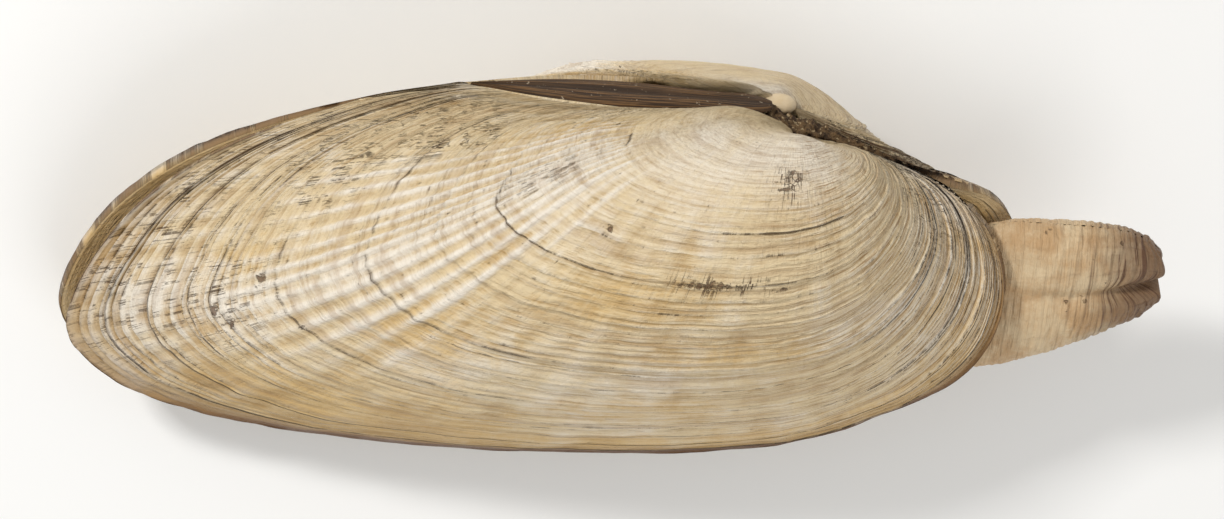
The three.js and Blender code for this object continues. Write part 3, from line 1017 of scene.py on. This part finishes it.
class Piece:
    """Helps a part of the shell become one finished object."""

    @staticmethod
    def sheet(
        bm: bmesh.types.BMesh, points: np.ndarray, marks: dict[str, np.ndarray]
    ) -> list[bmesh.types.BMVert]:
        """Adds a flat grid and moves it onto a surface.

        Args:
            bm: The mesh being built.
            points: Places in metres, rows by columns by three.
            marks: Numbers to keep on the vertices, rows by columns.

        Returns:
            The grid's vertices, row by row.
        """
        rows, columns = points.shape[:2]
        layers = {name: bm.verts.layers.float.get(name) or bm.verts.layers.float.new(name) for name in marks}
        made = bmesh.ops.create_grid(bm, x_segments=columns - 1, y_segments=rows - 1, size=0.5)
        order = {}
        for vertex in made["verts"]:
            i = round((vertex.co.x + 0.5) * (columns - 1))
            j = round((vertex.co.y + 0.5) * (rows - 1))
            order[j, i] = vertex
            vertex.co = points[j, i]
            for name, layer in layers.items():
                vertex[layer] = marks[name][j, i]
        return [order[j, i] for j in range(rows) for i in range(columns)]

    @staticmethod
    def finish(bm: bmesh.types.BMesh, name: str, material: bpy.types.Material) -> bpy.types.Object:
        """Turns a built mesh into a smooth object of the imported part's body.

        Args:
            bm: The mesh being built.
            name: The object's name.
            material: Its finish.

        Returns:
            The new object.
        """
        bmesh.ops.recalc_face_normals(bm, faces=bm.faces)
        mesh = bpy.data.meshes.new(name)
        bm.to_mesh(mesh)
        bm.free()
        mesh.shade_smooth()
        mesh.materials.append(material)
        thing = bpy.data.objects.new(name, mesh)
        bpy.context.scene.collection.objects.link(thing)
        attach(thing, "root")
        return thing


@dataclass
class Valve(Piece):
    """One valve: its outer skin with ledges and rays, its inner skin and the rim between them."""

    name: str
    node: str
    form: GrowthForm
    relief: Relief
    pose: Pose
    warm: tuple[Patch, ...] = ()
    # Paler places; the broad one on the upper valve's front is painted light.
    pale: tuple[Patch, ...] = ()
    # Darkened places: some dirt, and a painted shadow band along the bottom margin of the upper valve.
    grime_and_shade: tuple[Patch, ...] = ()
    crackle: tuple[Patch, ...] = ()
    wall: float = 2.3
    edge_wall: float = 1.0
    edge_stages: tuple[float, float] = (0.8, 1.0)
    inner_from: float = 0.3
    columns_behind: int = 24
    columns_a_ray: int = 8
    columns_ahead: int = 117
    knob_mm: tuple[float, float, float] | None = None
    knob_half_mm: tuple[float, float, float] = (1.9, 1.15, 1.5)

    def columns(self) -> np.ndarray:
        """Rays of the mesh columns, close together over the raised rays.

        Returns:
            Rays from the rear of the hinge to its front.
        """
        first, last = self.relief.ray_span()
        behind = np.linspace(0.0, first, self.columns_behind, endpoint=False)
        over = np.linspace(first, last, self.columns_a_ray * self.relief.ray_count, endpoint=False)
        return np.concatenate([behind, over, np.linspace(last, 1.0, self.columns_ahead)])

    @staticmethod
    def edge_fade(ray: np.ndarray, stage: np.ndarray) -> np.ndarray:
        """How much relief is left: it dies out on the hinge line and on the margin behind it."""
        behind = 1 - (1 - smooth(0.03, 0.16, ray)) * smooth(0.88, 0.97, stage)
        return smooth(0.0, 0.05, ray) * smooth(0.0, 0.1, 1 - ray) * behind

    def settle(self, points: np.ndarray) -> np.ndarray:
        """Keeps a skin on its own side of the middle plane, then lays it on the floor.

        Args:
            points: Points in the shell's own frame.

        Returns:
            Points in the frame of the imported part, none below the floor.
        """
        side = self.form.side.value
        points[..., 2] = side * np.maximum(self.form.edge_gap, side * points[..., 2])
        placed = self.pose.place(points)
        placed[..., 2] = np.maximum(placed[..., 2], 0.0)
        return placed

    def outer(self) -> tuple[np.ndarray, dict[str, np.ndarray]]:
        """Outer skin, with all its relief.

        Returns:
            Its points and what its vertices remember.
        """
        ray, stage = np.meshgrid(self.columns(), self.relief.rows())
        plain = self.form.point(ray, self.relief.swayed(ray, stage))
        lift = self.relief.height(ray, stage) * self.edge_fade(ray, stage)
        points = plain + self.form.normal(plain) * lift[..., None]
        return self.settle(points), self.marks(ray, stage, 0.0)

    def inner(self, rows: int, columns: int) -> tuple[np.ndarray, dict[str, np.ndarray]]:
        """Inner skin, a wall's thickness in.

        Args:
            rows: Rows of its mesh.
            columns: Columns of its mesh.

        Returns:
            Its points and what its vertices remember.
        """
        ray, stage = np.meshgrid(np.linspace(0, 1, columns), np.linspace(self.inner_from, 1, rows))
        plain = self.form.point(ray, stage)
        wall = self.wall + (self.edge_wall - self.wall) * smooth(*self.edge_stages, stage)
        points = plain - self.form.normal(plain) * wall[..., None]
        return self.settle(points), self.marks(ray, stage, 1.0)

    def marks(self, ray: np.ndarray, stage: np.ndarray, inside: float) -> dict[str, np.ndarray]:
        """What the vertices remember for the finish.

        Args:
            ray: Ray of each vertex.
            stage: Stage of each vertex.
            inside: 1 on the inner skin, 0 on the outer one.

        Returns:
            Numbers by name.
        """
        made = {"ray": ray, "stage": stage, "band": self.relief.band(stage)}
        made["inside"] = np.full_like(ray, inside)
        made["crease"] = self.relief.crease(ray, stage)
        made["crest"] = self.relief.fine(ray, stage) * (1.0 - inside)
        for name in ("warm", "pale", "grime_and_shade", "crackle"):
            made[name] = sum((patch.at(ray, stage) for patch in getattr(self, name)), np.zeros_like(ray))
        return made

    def build(self, material: bpy.types.Material) -> bpy.types.Object:
        """Makes the valve.

        Args:
            material: Its finish.

        Returns:
            The valve's object.
        """
        bm = bmesh.new()
        points, marks = self.outer()
        rows, columns = points.shape[:2]
        self.close_beak(bm, self.sheet(bm, points, marks)[:columns])
        half = (rows + 1) // 2, (columns + 1) // 2
        points, marks = self.inner(*half)
        self.close_beak(bm, self.sheet(bm, points, marks)[: half[1]])
        bmesh.ops.bridge_loops(bm, edges=[edge for edge in bm.edges if edge.is_boundary])
        if self.knob_mm:
            self.add_knob(bm)
        thing = self.finish(bm, self.name, material)
        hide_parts(self.node)
        return thing

    def add_knob(self, bm: bmesh.types.BMesh) -> None:
        """Rounds the beak with a smooth oval knob.

        Args:
            bm: The mesh being built.
        """
        verts = bmesh.ops.create_uvsphere(bm, u_segments=48, v_segments=24, radius=1.0)["verts"]
        shape = np.array([vertex.co for vertex in verts]) * np.array(self.knob_half_mm)
        kept = {"ray": 0.5, "stage": 0.05, "pale": 0.3, "band": 1.3}
        layers = {name: bm.verts.layers.float.get(name) for name in kept}
        for vertex, place in zip(verts, self.pose.place(shape + np.array(self.knob_mm))):
            vertex.co = place
            for name, value in kept.items():
                vertex[layers[name]] = value

    @staticmethod
    def close_beak(bm: bmesh.types.BMesh, row: list[bmesh.types.BMVert]) -> None:
        """Draws the first row together at the beak."""
        centre = sum((vertex.co for vertex in row), Vector()) / len(row)
        bmesh.ops.pointmerge(bm, verts=row, merge_co=centre)


@dataclass
class Tube(Piece):
    """A closed body with rings along x, in the shell's own frame."""

    name: str
    node: str
    pose: Pose
    around: int
    along: int

    def ring(self, x: np.ndarray, angle: np.ndarray) -> np.ndarray:
        """Points of the rings; each kind of body has its own."""
        raise NotImplementedError

    def stations(self) -> np.ndarray:
        """Forward positions of the rings."""
        raise NotImplementedError

    def build(self, material: bpy.types.Material) -> bpy.types.Object:
        """Makes the body.

        Args:
            material: Its finish.

        Returns:
            The body's object.
        """
        angle, x = np.meshgrid(np.linspace(0, 2 * math.pi, self.around + 1), self.stations())
        points = self.pose.place(self.ring(x, angle))
        bm = bmesh.new()
        verts = self.sheet(bm, points, {"along": x, "angle": angle})
        row = self.around + 1
        for ends in (verts[:row], verts[-row:]):
            centre = sum((vertex.co for vertex in ends[:-1]), Vector()) / self.around
            bmesh.ops.pointmerge(bm, verts=ends, merge_co=centre)
        bmesh.ops.remove_doubles(bm, verts=bm.verts, dist=1e-7)
        thing = self.finish(bm, self.name, material)
        if self.node:
            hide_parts(self.node)
        return thing


@dataclass
class Siphon(Tube):
    """Dried siphon: a flattened tube with a groove along it, rings of wrinkles and two lobes at the tip.

    Its sections give how far forward each one is, its top, its bottom and half its thickness.
    """

    sections: tuple[tuple[float, float, float, float], ...] = (
        (11.0, -20.0, -28.0, 0.9), (12.0, -18.6, -29.4, 1.6), (17.0, -16.4, -32.0, 2.0),
        (21.5, -14.9, -33.4, 2.3), (25.0, -13.8, -33.5, 2.6), (27.5, -13.2, -32.8, 3.2),
        (30.0, -13.2, -31.6, 3.9), (33.0, -13.2, -30.2, 4.2), (36.8, -13.2, -28.2, 4.0),
        (40.4, -13.5, -26.1, 3.5), (43.0, -14.5, -24.5, 2.8), (44.6, -16.0, -22.9, 1.7),
    )
    hidden_to: float = 22.0
    hidden_rings: int = 30
    fullness: float = 0.75
    groove: float = 0.2
    groove_at_tip: float = 0.14
    groove_spread: float = 0.13
    groove_offset: float = 0.1
    groove_slope: float = 0.012
    groove_middle: float = 30.0
    groove_grows: tuple[float, float] = (25.0, 31.0)
    groove_deepens: tuple[float, float] = (38.0, 44.0)
    fold_every: float = 0.9
    folds_grow: tuple[float, float] = (24.0, 36.0)
    wrinkle: float = 0.34
    broad_dent: float = 0.16
    fine_dent: float = 0.1
    tip_from: float = 36.0
    lobe: float = 0.6
    notch: float = 2.1
    notch_spread: float = 0.2

    def stations(self) -> np.ndarray:
        """Rings, closer together where the siphon shows.

        Returns:
            Forward positions from the root to the tip.
        """
        root, tip = self.sections[0][0], self.sections[-1][0]
        hidden = np.linspace(root, self.hidden_to, self.hidden_rings, endpoint=False)
        return np.concatenate([hidden, np.linspace(self.hidden_to, tip, self.along)])

    def folds(self, x: np.ndarray, angle: np.ndarray) -> np.ndarray:
        """Wrinkles around the siphon and dents all over it.

        Args:
            x: How far forward each point is.
            angle: Where around the siphon it is.

        Returns:
            Heights in millimetres.
        """
        sway = 0.5 * Ripple(31, 1.6, 0.25).at(angle, x)
        folds = np.abs(np.sin((x + sway) * math.pi / self.fold_every)) ** 0.6 - 0.6
        uneven = 1 + 0.6 * Ripple(33, 3.0, 1.1).at(angle, x)
        dents = self.broad_dent * Ripple(32, 5.0, 2.2).at(angle, x)
        dents = dents + self.fine_dent * Ripple(34, 11.0, 4.0).at(angle, x)
        return self.wrinkle * smooth(*self.folds_grow, x) * folds * uneven + dents

    def ring(self, x: np.ndarray, angle: np.ndarray) -> np.ndarray:
        """Points of the siphon's skin.

        Args:
            x: How far forward each point is.
            angle: Where around the siphon it is.

        Returns:
            Points with x y z on the last axis.
        """
        table = np.array(self.sections)
        top, bottom, thick = (np.interp(x, table[:, 0], table[:, k]) for k in (1, 2, 3))
        c, s = np.cos(angle), np.sin(angle)
        folds = self.folds(x, angle)
        line = c - self.groove_offset + self.groove_slope * (x - self.groove_middle)
        deep = self.groove + self.groove_at_tip * smooth(*self.groove_deepens, x)
        groove = 1 - deep * bell(line, 0.0, self.groove_spread) * smooth(*self.groove_grows, x)
        half = (top - bottom) / 2 + 0.4 * folds
        z = (thick + folds * 0.6) * np.sign(s) * np.abs(s) ** self.fullness * groove
        lobe = self.lobe * np.sin(math.pi * np.minimum(1, np.abs(c) * 1.05))
        notch = self.notch * bell(c, 0.0, self.notch_spread)
        end = smooth(self.tip_from, self.sections[-1][0], x)
        return np.stack([x + end * (lobe - notch), (top + bottom) / 2 + half * c, z], axis=-1)


@dataclass
class Ligament(Tube):
    """Dark ligament in the slot behind the beaks, with a furrow along its back."""

    hinge: Hinge = Hinge()
    rear: float = -36.6
    front: float = -2.0
    side_gap: float = 0.3
    least_half: float = 0.15
    offset: float = 0.1
    sunk: float = 0.2
    top: float = 0.9
    depth: float = 1.2
    end_share: float = 0.35
    front_round: float = 4.0
    front_stub: float = 0.4
    keel: float = 0.7
    furrow: float = 0.3
    furrow_spread: float = 0.25
    fibre: float = 0.05

    def stations(self) -> np.ndarray:
        """Evenly spaced rings."""
        return np.linspace(self.rear, self.front, self.along)

    def ring(self, x: np.ndarray, angle: np.ndarray) -> np.ndarray:
        """Points of the ligament's skin.

        Args:
            x: How far forward each point is.
            angle: Where around the ligament it is.

        Returns:
            Points with x y z on the last axis.
        """
        middle, reach = (self.rear + self.front) / 2, (self.front - self.rear) / 2
        arch = np.sqrt(np.clip(1 - ((x - middle) / reach) ** 2, 0, 1))
        swell = self.end_share + (1 - self.end_share) * arch
        room = self.hinge.half(x) - self.side_gap
        rounded = np.sqrt(np.clip((self.front + self.front_stub - x) / self.front_round, 0, 1))
        half = np.maximum(self.least_half, room * rounded)
        c, s = np.cos(angle), np.sin(angle)
        furrow = np.where(s > 0, self.furrow * bell(c, 0.0, self.furrow_spread), 0.0)
        rise = np.where(s > 0, self.top, self.depth)
        narrow = np.where(s < 0, 1 + self.keel * s, 1.0)
        fibre = self.fibre * Ripple(41, 9.0, 0.12).at(angle, x)
        y = (s * rise - furrow + fibre) * swell - self.sunk
        return np.stack([x, y, self.offset * swell - half * c * narrow], axis=-1)


@dataclass
class PackedDirt(Tube):
    """Dirt packed between the valves, under the beaks and along the hollow in front of them."""

    hinge: Hinge = Hinge()
    back: float = -3.6
    front: float = 12.5
    depth: float = 0.9
    below_beaks: float = 3.2
    level_from: float = 1.0
    level_to: float = 2.0
    front_slope: float = 0.33
    rear_slope: float = 0.45
    raised: float = 0.1
    back_round: float = 1.5
    front_round: float = 3.0
    bite: float = 0.3

    def stations(self) -> np.ndarray:
        """Evenly spaced rings."""
        return np.linspace(self.back, self.front, self.along)

    def ring(self, x: np.ndarray, angle: np.ndarray) -> np.ndarray:
        """Points of the dirt's lumpy skin.

        Args:
            x: How far forward each point is.
            angle: Where around the dirt it is.

        Returns:
            Points with x y z on the last axis.
        """
        below = self.below_beaks + self.front_slope * np.maximum(0.0, x - self.level_to)
        below = below - self.rear_slope * np.maximum(0.0, self.level_from - x)
        room = self.hinge.half_below(x, below) + self.bite
        rear = np.clip((x - self.back) / self.back_round, 0, 1)
        taper = np.sqrt(rear * np.clip((self.front - x) / self.front_round, 0, 1))
        lumps = 1 + 0.3 * Ripple(51, 2.5, 1.8).at(angle, x) + 0.25 * Ripple(52, 7.0, 5.0).at(angle, x)
        y = -below + self.raised + self.depth * np.sin(angle) * lumps * taper
        return np.stack([x, y, room * np.cos(angle) * lumps * taper], axis=-1)


@dataclass(frozen=True)
class DirtFinish:
    """Dark crumbly dirt with pale grains."""

    name: str = "packed_dirt_grains"
    dark: tuple[float, ...] = tint(62, 46, 32)
    brown: tuple[float, ...] = tint(112, 88, 60)
    grain: tuple[float, ...] = tint(176, 154, 118)
    roughness: float = 0.9
    specular: float = 0.2
    relief_depth: float = 0.0008

    def material(self) -> bpy.types.Material:
        """Builds the finish.

        Returns:
            The piece's material.
        """
        graph = Graph(self.name)
        where = graph.place()
        lumps = graph.noise(where, 900.0, 4.0, 0.7)
        colour = graph.blend(lumps.step(0.4, 0.6), self.dark, self.brown)
        colour = graph.blend(graph.noise(where, 1700.0, 2.0, 0.6).step(0.6, 0.68), colour, self.grain)
        normal = graph.bump(lumps, self.relief_depth)
        return graph.finish({
            "Base Color": colour, "Roughness": self.roughness, "Normal": normal,
            "Specular IOR Level": self.specular,
        })


@dataclass(frozen=True)
class SiphonFinish:
    """Tan dried skin, darker towards the tip."""

    name: str = "dried_siphon_skin"
    tan: tuple[float, ...] = tint(190, 154, 110)
    pale: tuple[float, ...] = tint(212, 188, 150)
    dark: tuple[float, ...] = tint(92, 62, 38)
    roughness: float = 0.48
    specular: float = 0.45
    relief_depth: float = 0.0003

    def material(self) -> bpy.types.Material:
        """Builds the finish.

        Returns:
            The piece's material.
        """
        graph = Graph(self.name)
        x, angle = graph.attribute("along"), graph.attribute("angle")
        where = graph.place()
        patch = graph.noise(where, 160.0, 5.0, 0.7).step(0.35, 0.65)
        colour = graph.blend(patch, self.tan, self.pale)
        rings = graph.noise(graph.vector(x * 2.2, angle * 0.5), 1.0, 4.0, 0.65)
        lengthwise = graph.noise(graph.vector(x * 0.12, angle * 5.0), 1.0, 4.0, 0.65)
        edge = graph.noise(where, 400.0, 3.0, 0.6) - 0.5
        tip = (x + edge * 5.0).step(34.0, 43.0) * 0.8 + rings.step(0.5, 0.66) * x.step(26.0, 38.0) * 0.55
        tip = tip + lengthwise.step(0.55, 0.75) * 0.22 + (1.0 - (x + edge * 6.0).step(22.0, 25.5)) * 0.25
        colour = graph.blend(tip.least(1.0), colour, self.dark)
        spots = graph.noise(where, 620.0, 2.0, 0.6).step(0.7, 0.76)
        colour = graph.blend(spots * 0.7, colour, self.dark)
        height = rings * 1.3 + lengthwise * 0.5 + graph.noise(where, 1100.0, 4.0, 0.7) * 0.5 - spots
        normal = graph.bump(height, self.relief_depth)
        return graph.finish({
            "Base Color": colour, "Roughness": self.roughness, "Normal": normal,
            "Specular IOR Level": self.specular,
        })


@dataclass(frozen=True)
class LigamentFinish:
    """Dark horny ligament with fibres along it."""

    name: str = "dry_ligament"
    brown: tuple[float, ...] = tint(118, 86, 52)
    dark: tuple[float, ...] = tint(52, 36, 22)
    pale: tuple[float, ...] = tint(176, 158, 132)
    roughness: float = 0.62
    specular: float = 0.25
    relief_depth: float = 0.0003

    def material(self) -> bpy.types.Material:
        """Builds the finish.

        Returns:
            The piece's material.
        """
        graph = Graph(self.name)
        x, angle = graph.attribute("along"), graph.attribute("angle")
        fibres = graph.noise(graph.vector(x * 0.12, angle * 9.0), 1.0, 4.0, 0.65)
        colour = graph.blend(fibres.step(0.4, 0.65), self.dark, self.brown)
        furrow = 1.0 - abs(angle - math.pi / 2).step(0.08, 0.35)
        colour = graph.blend(furrow * 0.8, colour, self.dark)
        specks = graph.noise(graph.place(), 1500.0, 2.0, 0.7).step(0.66, 0.72)
        colour = graph.blend(specks * 0.7, colour, self.pale)
        normal = graph.bump(fibres, self.relief_depth)
        return graph.finish({
            "Base Color": colour, "Roughness": self.roughness, "Normal": normal,
            "Specular IOR Level": self.specular,
        })


@dataclass(frozen=True)
class Lamp:
    """A soft square lamp aimed at the shell, in metres and watts."""

    name: str
    place: tuple[float, float, float]
    size: float
    power: float

    def hang(self) -> None:
        """Puts the lamp in the scene."""
        data = bpy.data.lights.new(self.name, "AREA")
        data.size = self.size
        data.energy = self.power
        thing = bpy.data.objects.new(self.name, data)
        thing.location = self.place
        thing.rotation_euler = (-Vector(self.place)).to_track_quat("-Z", "Y").to_euler()
        bpy.context.scene.collection.objects.link(thing)


@dataclass(frozen=True)
class Studio:
    """Plain pale floor, soft lamps and the camera at the photograph's angle."""

    camera_mm: tuple[float, float, float] = (-12.004, 84.461, 407.735)
    aim_mm: tuple[float, float, float] = (0.55, 1.67, 18.94)
    roll_deg: float = -4.02
    lens: float = 100.0
    sensor: float = 36.0
    near: float = 0.01
    far: float = 20.0
    lamps: tuple[Lamp, ...] = (
        Lamp("key", (-0.38, 0.38, 0.5), 0.12, 3.0),
        Lamp("front", (0.32, -0.4, 0.68), 0.5, 1.9),
    )
    sky_power: float = 0.53
    floor_size: float = 6.0
    floor_tint: tuple[float, ...] = tint(242, 241, 238)
    floor_roughness: float = 0.7

    def build(self) -> None:
        """Makes floor, lamps, backdrop light and camera."""
        self.make_floor()
        for lamp in self.lamps:
            lamp.hang()
        self.make_sky()
        bpy.context.scene.view_settings.view_transform = "Standard"
        self.make_camera()

    def make_floor(self) -> None:
        """Lays the floor under the shell."""
        bm = bmesh.new()
        bmesh.ops.create_grid(bm, x_segments=1, y_segments=1, size=self.floor_size / 2)
        mesh = bpy.data.meshes.new("floor")
        bm.to_mesh(mesh)
        bm.free()
        look = {"Base Color": self.floor_tint, "Roughness": self.floor_roughness}
        mesh.materials.append(Graph("floor_paint").finish(look))
        floor = bpy.data.objects.new("floor", mesh)
        bpy.context.scene.collection.objects.link(floor)

    def make_sky(self) -> None:
        """Lights the scene evenly from all round."""
        world = bpy.data.worlds.new("backdrop")
        world.use_nodes = True
        light = world.node_tree.nodes["Background"].inputs
        light["Color"].default_value = (1.0, 1.0, 1.0, 1.0)
        light["Strength"].default_value = self.sky_power
        bpy.context.scene.world = world

    def make_camera(self) -> None:
        """Sets the camera where the photograph was taken from."""
        data = bpy.data.cameras.new("camera")
        data.lens = self.lens
        data.sensor_width = self.sensor
        data.clip_start = self.near
        data.clip_end = self.far
        thing = bpy.data.objects.new("camera", data)
        place = Vector(self.camera_mm) * MM
        back = (place - Vector(self.aim_mm) * MM).normalized()
        right = Vector((0.0, 1.0, 0.0)).cross(back).normalized()
        up = back.cross(right)
        turn = Matrix((right, up, back)).transposed().to_4x4()
        roll = Matrix.Rotation(math.radians(-self.roll_deg), 4, "Z")
        thing.matrix_world = Matrix.Translation(place) @ turn @ roll
        bpy.context.scene.collection.objects.link(thing)
        bpy.context.scene.camera = thing


UPPER_PITS = (
    Pit(0.46, 0.359, 0.55), Pit(0.182, 0.287, 0.7), Pit(0.29, 0.462, 0.5), Pit(0.3, 0.735, 1.1, 2.0),
    Pit(0.345, 0.79, 0.5, 2.0), Pit(0.37, 0.715, 0.8), Pit(0.6, 0.2, 1.1),
    Pit(0.59, 0.24, 0.8, 2.0), Pit(0.6, 0.43, 0.7), Pit(0.55, 0.418, 1.0, 3.0),
    Pit(0.325, 0.8, 0.8, 2.0),
)


def upper_valve(pose: Pose) -> Valve:
    """The valve that lies on top.

    Args:
        pose: How the shell lies.

    Returns:
        The valve, not built yet.
    """
    form = GrowthForm(
        Side.UPPER, roll=0.25, pinch=-0.55, pinch_spread=0.16, umbo_shift=0.52, rear_gape=1.9,
        beak_shift=0.8,
    )
    return Valve(
        "upper_valve_shell", "upper_valve", form, Relief(11), pose,
        warm=(
            Patch(0.44, 0.86, 0.08, 0.1, 1.1), Patch(0.26, 0.76, 0.025, 0.07, 0.7),
            Patch(0.51, 0.46, 0.05, 0.05, 0.7), Patch(0.8, 0.8, 0.1, 0.25, 0.5),
            Patch(0.62, 0.93, 0.15, 0.1, 0.9), Patch(0.4, 0.47, 0.02, 0.04, 0.6),
            Patch(0.42, 0.62, 0.04, 0.06, 0.8), Patch(0.55, 0.72, 0.04, 0.05, 0.8),
            Patch(0.58, 0.56, 0.05, 0.04, 0.7), Patch(0.16, 0.35, 0.06, 0.12, 0.6),
        ),
        pale=(
            # The broad pale patch on the front, at ray 0.8, is painted light: it lightens the front, which
            # lies in shade away from the key lamp.
            Patch(0.27, 0.93, 0.12, 0.08, 0.5), Patch(0.8, 0.75, 0.14, 0.25, 0.6),
            Patch(0.33, 0.8, 0.05, 0.12, 0.7), Patch(0.3, 0.38, 0.06, 0.1, 0.8),
            Patch(0.55, 0.15, 0.25, 0.13, 0.9), Patch(0.53, 0.62, 0.04, 0.12, 0.5),
            Patch(0.33, 0.57, 0.03, 0.08, 0.8),
        ),
        # The first patch is a painted shadow band along the bottom margin; the others darken the margin at
        # the rear and at the front.
        grime_and_shade=(
            Patch(0.56, 1.04, 0.19, 0.075, 2.4), Patch(0.25, 1.0, 0.12, 0.03, 0.25),
            Patch(0.9, 0.95, 0.12, 0.2, 0.15), Patch(0.8, 1.0, 0.12, 0.03, 0.4),
        ),
        crackle=(
            Patch(0.145, 0.57, 0.025, 0.05, 1.3), Patch(0.6, 0.22, 0.022, 0.05, 1.4),
            Patch(0.56, 0.42, 0.03, 0.015, 1.2), Patch(0.25, 0.95, 0.14, 0.09, 0.8),
            Patch(0.31, 0.8, 0.07, 0.07, 0.8), Patch(0.31, 0.36, 0.06, 0.06, 0.5),
            Patch(0.1, 0.75, 0.08, 0.2, 0.7), Patch(0.2, 0.7, 0.05, 0.06, 0.5),
            Patch(0.88, 0.6, 0.1, 0.25, 0.7), Patch(0.5, 0.45, 0.3, 0.3, 0.16),
        ),
    )


def lower_valve(pose: Pose) -> Valve:
    """The valve that the shell lies on.

    Args:
        pose: How the shell lies.

    Returns:
        The valve, not built yet.
    """
    form = GrowthForm(
        Side.LOWER, roll=0.45, pinch=-0.66, pinch_spread=0.24, umbo_shift=-1.3, rear_gape=0.9,
        front_length=1.9, rear_length=1.8, growth_rate=0.9, beak_drop=1.6, umbo_rise=0.5,
    )
    return Valve(
        "lower_valve_shell", "lower_valve", form, Relief(23), pose,
        warm=(
            Patch(0.2, 0.98, 0.25, 0.08, 0.8), Patch(0.5, 0.6, 0.1, 0.15, 0.6),
            Patch(0.75, 0.8, 0.1, 0.2, 0.6), Patch(0.05, 0.3, 0.3, 0.3, 0.4),
            Patch(0.3, 0.15, 0.1, 0.06, 0.5), Patch(0.7, 0.25, 0.15, 0.08, 0.5),
        ),
        pale=(Patch(0.3, 0.5, 0.08, 0.2, 0.6), Patch(0.5, 0.04, 0.6, 0.05, 0.9)),
        grime_and_shade=(
            Patch(0.6, 1.0, 0.3, 0.02, 0.5), Patch(0.03, 0.45, 0.08, 0.2, 0.4),
            Patch(0.95, 0.6, 0.1, 0.3, 0.3),
        ),
        crackle=(
            Patch(0.4, 0.7, 0.05, 0.05, 0.8), Patch(0.1, 0.25, 0.15, 0.12, 0.7),
            Patch(0.7, 0.35, 0.15, 0.15, 0.5),
        ),
        knob_mm=(-1.1, -1.75, -3.25),
    )


def main() -> None:
    """Builds every piece in order."""
    logging.basicConfig(level=logging.INFO, format="%(message)s")
    pose = Pose()
    parts = [
        (upper_valve(pose), ValveFinish("upper_valve_chalk", pits=UPPER_PITS)),
        (lower_valve(pose), ValveFinish("lower_valve_chalk")),
        (Ligament("hinge_ligament", "ligament", pose, 72, 200), LigamentFinish()),
        (Siphon("dried_siphon", "siphon", pose, 144, 210), SiphonFinish()),
        (PackedDirt("packed_dirt", "", pose, 48, 90), DirtFinish()),
    ]
    for part, finish in parts:
        thing = part.build(finish.material())
        log.info("%s: %d faces", thing.name, len(thing.data.polygons))
    Studio().build()


if __name__ == "__main__":
    main()
